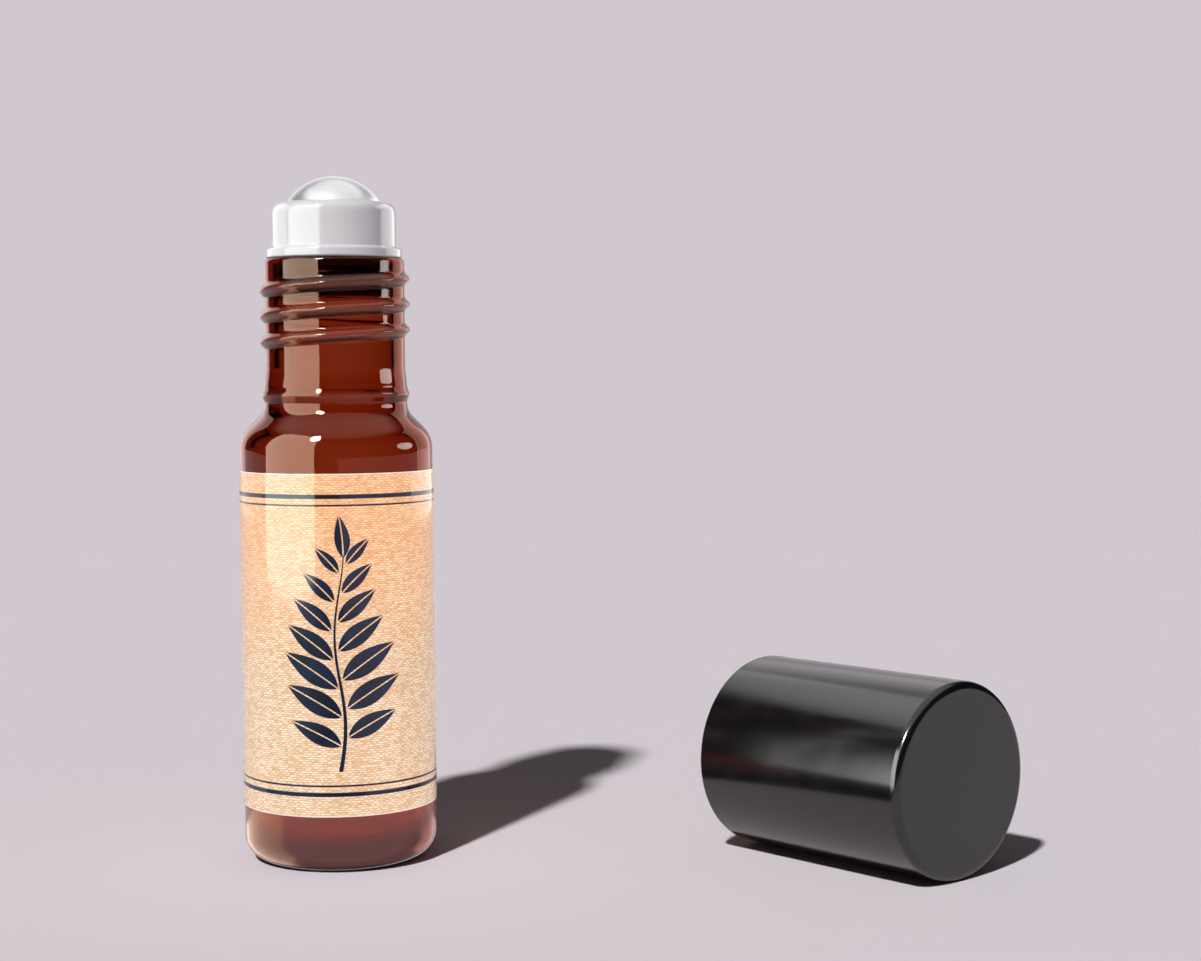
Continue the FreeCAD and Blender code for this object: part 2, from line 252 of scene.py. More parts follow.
def spun(outline, steps, sweep=2.0 * math.pi, start=0.0):
    """Bmesh turned about the Z axis from an outline in the plane of +X and Z."""
    bm = bmesh.new()
    verts = [bm.verts.new((p.x, 0.0, p.y)) for p in outline]
    edges = [bm.edges.new(pair) for pair in zip(verts, verts[1:])]
    bmesh.ops.rotate(bm, verts=verts, cent=(0, 0, 0), matrix=Matrix.Rotation(start, 3, "Z"))
    full = sweep >= 2.0 * math.pi
    bmesh.ops.spin(bm, geom=verts + edges, cent=(0, 0, 0), axis=(0, 0, 1), angle=sweep,
                   steps=steps, use_merge=full, use_duplicate=False)
    bmesh.ops.remove_doubles(bm, verts=bm.verts, dist=MERGE)
    bmesh.ops.recalc_face_normals(bm, faces=bm.faces)
    return bm


def thicken(bm, thickness):
    """Turns each face of a sheet away from the axis and gives the sheet its thickness outwards."""
    bm.normal_update()
    inward = [f for f in bm.faces if f.normal.dot(f.calc_center_median() * Vector((1, 1, 0))) < 0.0]
    bmesh.ops.reverse_faces(bm, faces=inward)
    bmesh.ops.solidify(bm, geom=bm.faces, thickness=-thickness)
    bmesh.ops.recalc_face_normals(bm, faces=bm.faces)


def add_object(name, bm, material):
    """Object made from a bmesh, with its material."""
    mesh = bpy.data.meshes.new(name)
    bm.to_mesh(mesh)
    bm.free()
    mesh.materials.append(material)
    made = bpy.data.objects.new(name, mesh)
    bpy.context.scene.collection.objects.link(made)
    return made


def finished(name, bm, material, body):
    """Visible piece made from a bmesh, smooth but for its creases, on its CAD body."""
    for face in bm.faces:
        face.smooth = True
    for edge in bm.edges:
        edge.smooth = edge.calc_face_angle(0.0) < CREASE
    piece = add_object(name, bm, material)
    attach(piece, body)
    return piece


def keep_out_of_glass(piece):
    """Keeps a piece out of reflections and out of what shows through the glass."""
    piece.visible_glossy = False
    piece.visible_transmission = False


def refinish(node, material):
    """Gives a CAD node's object its finished material."""
    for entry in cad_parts[node].material_slots:
        entry.material = material


# Shader nodes

def set_inputs(tree, made, inputs):
    """Sets or links the inputs of a node."""
    for key, value in inputs.items():
        if isinstance(value, bpy.types.NodeSocket):
            tree.links.new(value, made.inputs[key])
        else:
            made.inputs[key].default_value = value


def add_node(tree, kind, inputs=None, **options):
    """Adds a node, sets its options, and sets or links its inputs."""
    made = tree.nodes.new(kind)
    for key, value in options.items():
        setattr(made, key, value)
    set_inputs(tree, made, inputs or {})
    return made


def maths(tree, operation, first, second=0.0):
    """Output of a Math node."""
    return add_node(tree, "ShaderNodeMath", {0: first, 1: second}, operation=operation).outputs[0]


def total(tree, base, *terms):
    """Output of a base plus each value times its weight."""
    for value, weight in terms:
        base = maths(tree, "ADD", maths(tree, "MULTIPLY", value, weight), base)
    return base


def blend(tree, factor, first, second):
    """Output of a number Mix node."""
    return add_node(tree, "ShaderNodeMix", {0: factor, 2: first, 3: second}).outputs[0]


def blend_colour(tree, factor, first, second):
    """Output of a colour Mix node, from outputs or plain colours."""
    ends = {}
    for index, value in ((6, first), (7, second)):
        ends[index] = value if isinstance(value, bpy.types.NodeSocket) else (*value, 1.0)
    return add_node(tree, "ShaderNodeMix", {0: factor, **ends}, data_type="RGBA").outputs[2]


def ramp(tree, value, low, high, out_low=0.0, out_high=1.0):
    """Output of a smooth Map Range node."""
    return add_node(tree, "ShaderNodeMapRange", {
        "Value": value, "From Min": low, "From Max": high, "To Min": out_low, "To Max": out_high,
    }, interpolation_type="SMOOTHSTEP").outputs[0]


def noise(tree, vector, scale, detail=2.0, roughness=0.5):
    """Factor of a Noise texture."""
    return add_node(tree, "ShaderNodeTexNoise", {
        "Vector": vector, "Scale": scale, "Detail": detail, "Roughness": roughness}).outputs[0]


def bump(tree, height, distance, strength):
    """Normal from a height, its full distance in metres."""
    return add_node(tree, "ShaderNodeBump", {
        "Height": height, "Distance": distance, "Strength": strength}).outputs[0]


def shaded(rgb, share):
    """A colour made darker or paler."""
    return [c * share for c in rgb]


def new_material(name):
    """Node material with its tree and its Principled shader."""
    material = bpy.data.materials.new(name)
    material.use_nodes = True
    return material, material.node_tree, material.node_tree.nodes["Principled BSDF"]


def object_place(tree):
    """Object coordinates."""
    return tree.nodes.new("ShaderNodeTexCoord").outputs["Object"]


def new_group(name, numbers, results):
    """Node group that makes numbers from a vector and numbers, with its two end nodes."""
    tree = bpy.data.node_groups.new(name, "ShaderNodeTree")
    tree.interface.new_socket("Vector", in_out="INPUT", socket_type="NodeSocketVector")
    for label in numbers:
        tree.interface.new_socket(label, in_out="INPUT", socket_type="NodeSocketFloat")
    for label in results:
        tree.interface.new_socket(label, in_out="OUTPUT", socket_type="NodeSocketFloat")
    return tree, tree.nodes.new("NodeGroupInput"), tree.nodes.new("NodeGroupOutput")


def handling_marks_group():
    """Faint smudges, hairlines and grain that any handled gloss surface picks up."""
    name = "Handling Marks"
    if name in bpy.data.node_groups:
        return bpy.data.node_groups[name]
    tree, start, out = new_group(name, ("Smudge Scale", "Grain Scale"), ("Smudge", "Hairline", "Grain"))
    given = start.outputs
    where = given["Vector"]
    cloud = noise(tree, where, given["Smudge Scale"], detail=4.0, roughness=0.6)
    stretched = add_node(tree, "ShaderNodeMapping", {
        "Vector": where, "Rotation": (0.4, 0.9, 0.2), "Scale": (1.0, 0.06, 1.0)}).outputs[0]
    hair_scale = maths(tree, "MULTIPLY", given["Grain Scale"], 0.7)
    hair = noise(tree, stretched, hair_scale, roughness=0.6)
    set_inputs(tree, out, {
        "Smudge": ramp(tree, cloud, 0.42, 0.72),
        "Hairline": ramp(tree, hair, 0.66, 0.76),
        "Grain": noise(tree, where, given["Grain Scale"], detail=3.0, roughness=0.6),
    })
    return tree


def handling_marks(tree, smudge_scale, grain_scale):
    """Outputs of the handling marks, at a material's own scales per metre."""
    return add_node(tree, "ShaderNodeGroup", {
        "Vector": object_place(tree), "Smudge Scale": smudge_scale, "Grain Scale": grain_scale,
    }, node_tree=handling_marks_group()).outputs


def linen_weave_group():
    """Plain weave on a flat map in metres: the threads' height, and the tone of dashes along the weft."""
    name = "Linen Weave"
    if name in bpy.data.node_groups:
        return bpy.data.node_groups[name]
    warp_edge = 0.5
    warp_depth = 0.6
    dashes_per_warp = 0.55
    slub_share = 0.4
    tree, start, out = new_group(name, ("Warp", "Weft"), ("Height", "Tone"))
    given = start.outputs
    where = given["Vector"]
    flat = add_node(tree, "ShaderNodeSeparateXYZ", {0: where}).outputs
    wobble = maths(tree, "SUBTRACT", noise(tree, where, scale=1300.0), 0.5)
    across = maths(tree, "ADD", maths(tree, "DIVIDE", flat[0], given["Warp"]), wobble)
    along = maths(tree, "ADD", maths(tree, "DIVIDE", flat[1], given["Weft"]), wobble)
    warp_wave = maths(tree, "SINE", maths(tree, "MULTIPLY", across, math.pi))
    weft_wave = maths(tree, "SINE", maths(tree, "MULTIPLY", along, math.pi))
    warp_over = maths(tree, "GREATER_THAN", maths(tree, "MULTIPLY", warp_wave, weft_wave), warp_edge)
    warp_back = maths(tree, "ABSOLUTE", warp_wave)
    weft_back = maths(tree, "ABSOLUTE", weft_wave)
    weft_float = maths(tree, "MULTIPLY", weft_back, ramp(tree, warp_back, 0.0, 1.0, 0.7, 1.0))
    warp_float = maths(tree, "MULTIPLY", maths(tree, "MULTIPLY", weft_back, warp_back), warp_depth)
    row = maths(tree, "FLOOR", along)
    shift = add_node(tree, "ShaderNodeTexWhiteNoise", {"W": row}, noise_dimensions="1D").outputs[0]
    dash = maths(tree, "FLOOR", total(tree, shift, (across, dashes_per_warp)))
    cell = add_node(tree, "ShaderNodeCombineXYZ", {0: dash, 1: row}).outputs[0]
    tone = add_node(tree, "ShaderNodeTexWhiteNoise", {"Vector": cell}, noise_dimensions="2D").outputs[0]
    slub = ramp(tree, noise(tree, where, scale=2700.0, roughness=0.6), 0.25, 0.75)
    set_inputs(tree, out, {
        "Height": blend(tree, warp_over, weft_float, warp_float),
        "Tone": blend(tree, slub_share, tone, slub),
    })
    return tree


# Materials

def painted_heel_mask(tree, settings, height, from_axis, thick):
    """Where the outside of the thick heel gets its painted glow, from 0 to 1."""
    above_foot = ramp(tree, height, 0.1 * MM, 0.9 * MM)
    skin = settings.body_radius - settings.wall / 2.0
    outside = ramp(tree, from_axis, settings.body_radius - settings.heel, skin)
    return maths(tree, "MULTIPLY", maths(tree, "MULTIPLY", thick, above_foot), outside)


def painted_ridge_mask(tree, settings, height, from_axis):
    """Where the thread and the bead stand out from the neck, from 0 to 1, for the glow painted on them."""
    neck_start = settings.shoulder + settings.body_radius - settings.neck_foot
    taper = neck_start + settings.taper_rise
    taper_end = taper + settings.taper_length
    neck = ramp(tree, height, taper, taper_end, settings.neck_foot, settings.neck_radius)
    stands_out = maths(tree, "SUBTRACT", from_axis, neck)
    proud = ramp(tree, stands_out, settings.ridge_low, settings.ridge_full)
    on_neck = maths(tree, "GREATER_THAN", height, neck_start + settings.bead_flank)
    return maths(tree, "MULTIPLY", proud, on_neck)


def amber_glass(settings):
    """Clear glass tinted through its depth, with the slight waves of a moulded wall, a hazy heel, and glow
    painted as emission on the heel, the thread and the bead.
    """
    material, tree, shader = new_material("amber_glass_finish")
    where = object_place(tree)
    axes = add_node(tree, "ShaderNodeSeparateXYZ", {0: where}).outputs
    level = add_node(tree, "ShaderNodeCombineXYZ", {0: axes[0], 1: axes[1]}).outputs[0]
    from_axis = add_node(tree, "ShaderNodeVectorMath", {0: level}, operation="LENGTH").outputs["Value"]
    thick = ramp(tree, axes[2], settings.heel_glow, settings.heel_glow + settings.heel, 1.0, 0.0)
    haze = maths(tree, "MULTIPLY", thick, settings.heel_haze)
    smudge = handling_marks(tree, 260.0, 2600.0)["Smudge"]
    wave = noise(tree, where, scale=190.0, detail=1.0)
    # Masks for the glow painted on the heel and on the thread and bead
    heel = painted_heel_mask(tree, settings, axes[2], from_axis, thick)
    painted_heel_emission = blend_colour(tree, heel, (0.0, 0.0, 0.0), settings.painted_heel_glow)
    ridge = painted_ridge_mask(tree, settings, axes[2], from_axis)
    set_inputs(tree, shader, {
        "Base Color": (1.0, 1.0, 1.0, 1.0),
        "Transmission Weight": 1.0,
        "IOR": GLASS_IOR,
        "Specular Tint": (*settings.sheen, 1.0),
        "Roughness": total(tree, haze, (smudge, 0.012)),
        "Normal": bump(tree, wave, distance=0.003 * MM, strength=0.5),
        # Painted glow, laid on as emission
        "Emission Color": blend_colour(tree, ridge, painted_heel_emission, settings.painted_ridge_glow),
        "Emission Strength": 1.0,
    })
    depth = add_node(tree, "ShaderNodeVolumeAbsorption", {
        "Color": (*settings.tint, 1.0), "Density": settings.density})
    tree.links.new(depth.outputs[0], tree.nodes["Material Output"].inputs["Volume"])
    return material


def label_weave(tree, settings):
    """The label's flat map, and the outputs of the weave on it."""
    flat = add_node(tree, "ShaderNodeUVMap", uv_map="LabelMap").outputs[0]
    weave = add_node(tree, "ShaderNodeGroup", {
        "Vector": flat, "Warp": settings.warp, "Weft": settings.weft,
    }, node_tree=linen_weave_group()).outputs
    return flat, weave


def varnish(shader):
    """Clear gloss over the label and its print."""
    shader.inputs["Coat Weight"].default_value = 0.85
    shader.inputs["Coat Roughness"].default_value = 0.06


def linen_label(settings, radius):
    """Printed linen look on a smooth label: woven threads, uneven dye, a pale cut edge."""
    material, tree, shader = new_material("linen_label_finish")
    flat, weave = label_weave(tree, settings)
    axes = add_node(tree, "ShaderNodeSeparateXYZ", {0: flat}).outputs
    tall = settings.top - settings.bottom
    cloud = noise(tree, flat, scale=120.0, detail=3.0, roughness=0.6)
    rise = total(tree, maths(tree, "DIVIDE", axes[1], tall), (cloud, 0.5))
    age = ramp(tree, rise, 0.55, 1.15)
    thread = blend_colour(tree, age, settings.lower, settings.upper)
    gap = blend_colour(tree, age, settings.lower_gap, settings.upper_gap)
    lift = maths(tree, "MULTIPLY", weave["Height"], ramp(tree, weave["Tone"], 0.0, 1.0, 0.38, 1.38))
    cloth = blend_colour(tree, ramp(tree, lift, 0.08, 0.95), gap, thread)
    half_wide = settings.wrap / 2.0 * radius
    from_end = maths(tree, "SUBTRACT", half_wide, maths(tree, "ABSOLUTE", axes[0]))
    from_top = maths(tree, "SUBTRACT", tall, axes[1])
    nearest = maths(tree, "MINIMUM", from_end, maths(tree, "MINIMUM", axes[1], from_top))
    rim = ramp(tree, nearest, 0.05 * MM, 0.16 * MM, 1.0, 0.0)
    set_inputs(tree, shader, {
        "Base Color": blend_colour(tree, rim, cloth, settings.edge),
        "Roughness": ramp(tree, weave["Height"], 0.0, 0.8, 0.62, 0.46),
        "Normal": bump(tree, weave["Height"], distance=0.03 * MM, strength=0.35),
    })
    varnish(shader)
    return material


def label_ink(settings):
    """Dense screen-print ink that thins a little over the threads."""
    material, tree, shader = new_material("label_ink_finish")
    flat, weave = label_weave(tree, settings)
    patch = ramp(tree, noise(tree, flat, scale=260.0, detail=4.0, roughness=0.6), 0.35, 0.7)
    thin = total(tree, maths(tree, "MULTIPLY", patch, 0.6), (weave["Height"], 0.3))
    set_inputs(tree, shader, {
        "Base Color": blend_colour(tree, thin, settings.ink_dark, settings.ink),
        "Roughness": ramp(tree, weave["Height"], 0.0, 0.8, 0.55, 0.4),
        "Specular IOR Level": 0.15,
    })
    varnish(shader)
    return material


def white_plastic(settings):
    """Bright moulded plastic with a smooth gloss and faint handling marks."""
    material, tree, shader = new_material("white_plastic_finish")
    marks = handling_marks(tree, 420.0, 5200.0)
    dull = shaded(settings.plastic, 0.965)
    set_inputs(tree, shader, {
        "Base Color": blend_colour(tree, marks["Smudge"], settings.plastic, dull),
        "Roughness": total(tree, settings.plastic_gloss, (marks["Smudge"], 0.05)),
        "Normal": bump(tree, marks["Grain"], distance=0.002 * MM, strength=0.2),
    })
    return material


def polished_steel(settings):
    """Polished steel with faint smudges and a few hairline marks from rolling."""
    material, tree, shader = new_material("polished_steel_finish")
    marks = handling_marks(tree, 500.0, 5000.0)
    dull = shaded(settings.steel, 0.93)
    set_inputs(tree, shader, {
        "Base Color": blend_colour(tree, marks["Smudge"], settings.steel, dull),
        "Metallic": 1.0,
        "Roughness": total(tree, settings.steel_gloss, (marks["Smudge"], 0.05), (marks["Hairline"], 0.06)),
        "Normal": bump(tree, marks["Hairline"], distance=0.0003 * MM, strength=0.1),
    })
    return material


def black_plastic(settings):
    """Deep black gloss with a hint of moulding grain and handling marks."""
    material, tree, shader = new_material("black_plastic_finish")
    marks = handling_marks(tree, 240.0, 4200.0)
    greyer = shaded(settings.plastic, 1.8)
    set_inputs(tree, shader, {
        "Base Color": blend_colour(tree, marks["Smudge"], settings.plastic, greyer),
        "Roughness": total(tree, settings.gloss, (marks["Smudge"], 0.04), (marks["Hairline"], 0.03)),
        "Normal": bump(tree, marks["Grain"], distance=0.002 * MM, strength=0.15),
        "IOR": CAP_IOR,
    })
    return material


def seal_foam(settings):
    """Closed-cell foam disc with fine pores, with shade painted darker down in them."""
    material, tree, shader = new_material("seal_foam_finish")
    cells = add_node(tree, "ShaderNodeTexVoronoi", {
        "Vector": object_place(tree), "Scale": 4200.0}).outputs["Distance"]
    # Painted shade: the colour darkens where the pores sink in
    pores = ramp(tree, cells, 0.1, 0.6)
    set_inputs(tree, shader, {
        "Base Color": blend_colour(tree, pores, shaded(settings.foam, 0.84), settings.foam),
        "Roughness": ramp(tree, cells, 0.0, 0.8, 0.85, 0.7),
        "Normal": bump(tree, cells, distance=0.03 * MM, strength=0.5),
    })
    return material


def floor_paint(settings):
    """Matt paint that is the backdrop's colour when lit and plain far off; through the glass it glows in
    that colour as painted light, with painted shade under the bottle.
    """
    material, tree, shader = new_material("floor_paint_finish")
    where = object_place(tree)
    key_light = settings.key_power * math.sin(settings.key_height) / math.pi
    soft_light = settings.ambient / settings.backdrop[1]
    base = [c / (key_light + c * soft_light) for c in settings.backdrop]
    cloud = noise(tree, where, scale=30.0, detail=4.0)
    set_inputs(tree, shader, {
        "Base Color": blend_colour(tree, cloud, shaded(base, 1.005), shaded(base, 0.995)),
        "Roughness": 1.0,
        "Specular IOR Level": 0.0,
    })
    through = tree.nodes.new("ShaderNodeLightPath").outputs["Is Transmission Ray"]
    from_axis = add_node(tree, "ShaderNodeVectorMath", {0: where}, operation="LENGTH").outputs["Value"]
    # Painted shade: the glow is dimmer right under the bottle
    under = ramp(tree, from_axis, settings.glow_reach * 0.8, settings.glow_reach, settings.glow, 1.0)
    # Painted light: through the glass the floor glows instead of being lit, so the bottle's shadow is left
    # out
    plain = add_node(tree, "ShaderNodeEmission", {
        "Color": (*settings.backdrop, 1.0), "Strength": under}).outputs[0]
    far = ramp(tree, from_axis, settings.fade_start, settings.fade_end)
    bare = maths(tree, "MAXIMUM", through, far)
    seen = add_node(tree, "ShaderNodeMixShader", {0: bare, 1: shader.outputs[0], 2: plain}).outputs[0]
    tree.links.new(seen, tree.nodes["Material Output"].inputs["Surface"])
    return material


# Glass bottle

def glass_outline(s):
    """Outline of the glass, from the middle of the base round the outside and back inside."""
    coarse = 1.4 * MM
    fine = 0.30 * MM
    thread_step = 0.08 * MM
    push_up_round = 1.2 * MM
    bore_round = 1.2 * MM
    inner_shoulder_round = 1.6 * MM
    foot = s.body_radius - s.heel - s.foot_width
    neck_foot_z = s.shoulder + s.body_radius - s.neck_foot
    bead_low = neck_foot_z + s.bead_rise - s.bead_height / 2.0
    bead_high = bead_low + s.bead_height
    taper = neck_foot_z + s.taper_rise
    inner = s.body_radius - s.wall
    slope_sum = s.body_radius + s.shoulder - math.sqrt(2.0) * s.wall
    floor = s.push_up + s.base
    corners = [
        (0.0, s.push_up, 0.0, coarse),
        (foot - s.push_up_run, s.push_up, push_up_round, fine),
        (foot, 0.0, s.foot_edge, fine),
        (s.body_radius, 0.0, s.heel, coarse),
        (s.body_radius, s.shoulder, s.shoulder_round, fine),
        (s.neck_foot, neck_foot_z, s.neck_foot_round, fine),
        (s.neck_foot, bead_low, s.bead_root, fine),
        (s.bead_radius, bead_low + s.bead_flank, s.bead_edge, fine),
        (s.bead_radius, bead_high - s.bead_flank, s.bead_edge, fine),
        (s.neck_foot, bead_high, s.bead_root, fine),
        (s.neck_foot, taper, s.taper_round, fine),
        (s.neck_radius, taper + s.taper_length, s.taper_round, thread_step),
        (s.neck_radius, s.lip_height, s.lip_round, fine),
        (s.bore, s.lip_height, s.lip_bore_round, coarse),
        (s.bore, slope_sum - s.bore, bore_round, fine),
        (inner, slope_sum - inner, inner_shoulder_round, coarse),
        (inner, floor, s.inner_heel, coarse),
        (0.0, floor, 0.0, coarse),
    ]
    return rounded_outline(corners)


def raise_thread(bm, s, front):
    """Moves the neck's outer wall out along a soft-flanked helix that sinks in at both ends."""
    middle = s.lip_height - s.ridge_drop
    half_wall = (s.bore + s.neck_radius) / 2.0
    for vert in bm.verts:
        wall = Vector((vert.co.x, vert.co.y))
        if wall.length < half_wall or vert.co.z < middle - s.ridge_turns * s.pitch:
            continue
        lead = (math.atan2(wall.y, wall.x) - front) / (2.0 * math.pi)
        nearest = round((vert.co.z - middle) / s.pitch - lead) + lead
        from_end = s.ridge_turns / 2.0 - abs(nearest)
        off = abs(vert.co.z - middle - nearest * s.pitch)
        if from_end <= 0.0 or off >= s.ridge_half:
            continue
        fade = math.sin(min(1.0, from_end / s.ridge_fade) * math.pi / 2.0)
        proud = s.ridge_height * fade * math.cos(off / s.ridge_half * math.pi / 2.0) ** 2
        wall *= 1.0 + proud / wall.length
        vert.co.x, vert.co.y = wall


class ROLLON_OT_glass(bpy.types.Operator):
    """Turn the glass bottle from its outline and raise the screw thread on its neck"""
    bl_idname = "rollon.glass"
    bl_label = "Glass Bottle"

    def execute(self, context):
        s = context.scene.rollon_glass
        bm = spun(glass_outline(s), s.steps)
        raise_thread(bm, s, context.scene.rollon_label.front)
        piece = finished("glass_bottle", bm, amber_glass(s), "bottle")
        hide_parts("bottle_glass")
        return {"FINISHED"}


# Label and print

def map_flat(bm, radius, front, bottom):
    """Gives a sheet around the bottle a flat map in metres, from the label's middle and lower edge."""
    layer = bm.loops.layers.uv.new("LabelMap")
    for face in bm.faces:
        middle = face.calc_center_median()
        facing = math.atan2(middle.y, middle.x)
        from_front = math.remainder(facing - front, 2.0 * math.pi)
        for loop in face.loops:
            co = loop.vert.co
            angle = from_front + math.remainder(math.atan2(co.y, co.x) - facing, 2.0 * math.pi)
            loop[layer].uv = (angle * radius, co.z - bottom)


class ROLLON_OT_label(bpy.types.Operator):
    """Wrap the label around the body as a thin sheet with a flat map"""
    bl_idname = "rollon.label"
    bl_label = "Label"

    def execute(self, context):
        s = context.scene.rollon_label
        inner = context.scene.rollon_glass.body_radius + s.glue
        outer = inner + s.thickness
        rows = 24
        line = [Vector((inner, s.bottom + (s.top - s.bottom) * k / rows)) for k in range(rows + 1)]
        bm = spun(line, s.steps, s.wrap, s.front - s.wrap / 2.0)
        thicken(bm, s.thickness)
        map_flat(bm, outer, s.front, s.bottom)
        piece = finished("linen_label", bm, linen_label(s, outer), "bottle")
        keep_out_of_glass(piece)
        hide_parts("label")
        return {"FINISHED"}


def add_patch(bm, x_steps, y_steps, shape):
    """Grid from 0 to 1 along and -1 to 1 across, each point moved by shape(along, across)."""
    grid = bmesh.ops.create_grid(bm, x_segments=x_steps, y_segments=y_steps, size=1.0)["verts"]
    for vert in grid:
        flat = shape((vert.co.x + 1.0) / 2.0, vert.co.y)
        vert.co = (flat[0], flat[1], 0.0)


def leaf_half(base, heading, size, width, side):
    """Shape of half a leaf: pointed, fullest below its middle, with a bare vein."""
    along_axis = Vector((math.sin(heading), math.cos(heading)))
    across_axis = Vector((math.cos(heading), -math.sin(heading)))
    vein = 0.07 * MM
    curl = 0.10 * size * (1.0 if heading > 0.0 else -1.0)

    def shape(along, across):
        full = width / 2.0 * math.sin(math.pi * along ** 0.8) ** 0.9
        reach = vein + (across + 1.0) / 2.0 * max(full - vein, 0.0)
        return base + along_axis * (along * size) + across_axis * (side * reach + curl * along * along)
    return shape


def draw_sprig(bm, s):
    """Stem with paired leaves, flat, from the label's middle and lower edge."""
    tall = s.top - s.bottom
    foot = (tall - s.sprig) / 2.0
    stem_tall = s.sprig * 0.86
    sway = 0.5 * MM
    sway_turn = 2.4 * math.pi
    stem_taper = 0.75
    first_leaf = 0.14
    leaf_run = 0.80
    longest_at = 0.35
    shortening = 0.55
    leaf_stagger = 0.02
    stalk = 0.35 * MM
    low_lean = math.radians(62.0)
    lean_change = math.radians(26.0)
    tip_at = 0.99
    tip_share = 0.62

    def stem_at(along):
        return Vector((sway * math.sin(sway_turn * along), foot + stem_tall * along))

    def add_leaf(base, heading, share):
        for side in (-1.0, 1.0):
            add_patch(bm, 22, 4, leaf_half(base, heading, s.leaf * share, s.leaf_width * share, side))

    add_patch(bm, 60, 1, lambda along, across: stem_at(along) + Vector(
        (across * s.stem / 2.0 * (1.0 - stem_taper * along), 0.0)))
    for i in range(s.leaf_pairs):
        along = first_leaf + leaf_run * i / (s.leaf_pairs - 1)
        share = 1.0 - shortening * abs(along - longest_at) / (1.0 - longest_at)
        for way in (-1.0, 1.0):
            base = stem_at(along + leaf_stagger * way) + Vector((way * stalk, 0.0))
            add_leaf(base, way * (low_lean - lean_change * along), share)
    add_leaf(stem_at(tip_at), 0.0, tip_share)


def draw_rules(bm, s, radius):
    """Broad and fine rules along both edges, flat, from the label's middle and lower edge."""
    tall = s.top - s.bottom
    end_gap = 0.6 * MM
    half_wide = s.wrap / 2.0 * radius - end_gap
    fine = s.rule * 0.4
    spread = s.rule * 2.1
    for broad_at, fine_at in ((s.rule_inset, s.rule_inset + spread),
                              (tall - s.rule_inset, tall - s.rule_inset - spread)):
        for middle, wide in ((broad_at, s.rule), (fine_at, fine)):
            add_patch(bm, s.steps, 1, lambda along, across, middle=middle, wide=wide: Vector(
                ((2.0 * along - 1.0) * half_wide, middle + across * wide / 2.0)))


class ROLLON_OT_print(bpy.types.Operator):
    """Print a generic sprig and plain rules on the label as a film of ink"""
    bl_idname = "rollon.print"
    bl_label = "Label Print"

    def execute(self, context):
        s = context.scene.rollon_label
        face_radius = context.scene.rollon_glass.body_radius + s.glue + s.thickness
        radius = face_radius + s.ink_lift
        bm = bmesh.new()
        draw_sprig(bm, s)
        draw_rules(bm, s, face_radius)
        bmesh.ops.remove_doubles(bm, verts=bm.verts, dist=MERGE)
        layer = bm.loops.layers.uv.new("LabelMap")
        for face in bm.faces:
            for loop in face.loops:
                loop[layer].uv = loop.vert.co.xy
        for vert in bm.verts:
            angle = s.front + vert.co.x / face_radius
            vert.co = (radius * math.cos(angle), radius * math.sin(angle), s.bottom + vert.co.y)
        thicken(bm, s.ink_film)
        keep_out_of_glass(finished("label_print", bm, label_ink(s), "bottle"))
        return {"FINISHED"}


# Fitment and cap

class ROLLON_OT_fitment(bpy.types.Operator):
    """Finish the moulded roller housing and the polished ball"""
    bl_idname = "rollon.fitment"
    bl_label = "Roller Housing and Ball"

    def execute(self, context):
        s = context.scene.rollon_fitment
        refinish("roller_housing", white_plastic(s))
        refinish("roller_ball", polished_steel(s))
        return {"FINISHED"}


class ROLLON_OT_cap(bpy.types.Operator):
    """Finish the black screw cap and the foam seal in it"""
    bl_idname = "rollon.cap"
    bl_label = "Cap and Seal"

    def execute(self, context):
        s = context.scene.rollon_cap
        refinish("cap_shell", black_plastic(s))
        refinish("cap_seal", seal_foam(s))
        return {"FINISHED"}


# Studio

def studio_axes(s):
    """Level directions from the bottle: towards the camera, and to the left of it."""
    towards = Vector((s.camera[0], s.camera[1], 0.0)).normalized()
    return towards, Vector((towards.y, -towards.x, 0.0))


def studio_direction(s, azimuth, height):
    """Direction from the bottle at an angle left of the camera and above the floor."""
    towards, left = studio_axes(s)
    level = towards * math.cos(azimuth) + left * math.sin(azimuth)
    return level * math.cos(height) + Vector((0.0, 0.0, math.sin(height)))


def add_light(name, kind, aim_from, centre):
    """Light object at a place, turned to a centre."""
    lamp = bpy.data.lights.new(name, kind)
    holder = bpy.data.objects.new(name, lamp)
    bpy.context.scene.collection.objects.link(holder)
    holder.location = aim_from
    holder.rotation_euler = (Vector(centre) - Vector(aim_from)).to_track_quat("-Z", "Y").to_euler()
    holder.visible_camera = False
    return holder


def light_only(light, names):
    """Lets a light fall on the named pieces alone."""
    lit = bpy.data.collections.new(light.name + "_receivers")
    for name in names:
        lit.objects.link(bpy.data.objects[name])
    light.light_linking.receiver_collection = lit


def reflector(s, name, azimuth, spread, low, high, radiance):
    """Upright soft panel that shows in gloss only, its angles in degrees seen from the bottle."""
    bottom = s.eye_height + s.panel_distance * math.tan(math.radians(low))
    top = s.eye_height + s.panel_distance * math.tan(math.radians(high))
    middle = Vector((0.0, 0.0, (bottom + top) / 2.0))
    outward = studio_direction(s, math.radians(azimuth), 0.0)
    panel = add_light(name, "AREA", middle + outward * s.panel_distance, middle)
    panel.data.shape = "ELLIPSE" if name in ("side_window", "glass_spot") else "RECTANGLE"
    panel.data.size = 2.0 * s.panel_distance * math.tan(math.radians(spread) / 2.0)
    panel.data.size_y = top - bottom
    strongest = max(radiance)
    panel.data.color = [c / strongest for c in radiance]
    panel.data.energy = strongest * panel.data.size * panel.data.size_y * PANEL_WATTS
    panel.visible_diffuse = False
    panel.visible_transmission = False
    return panel


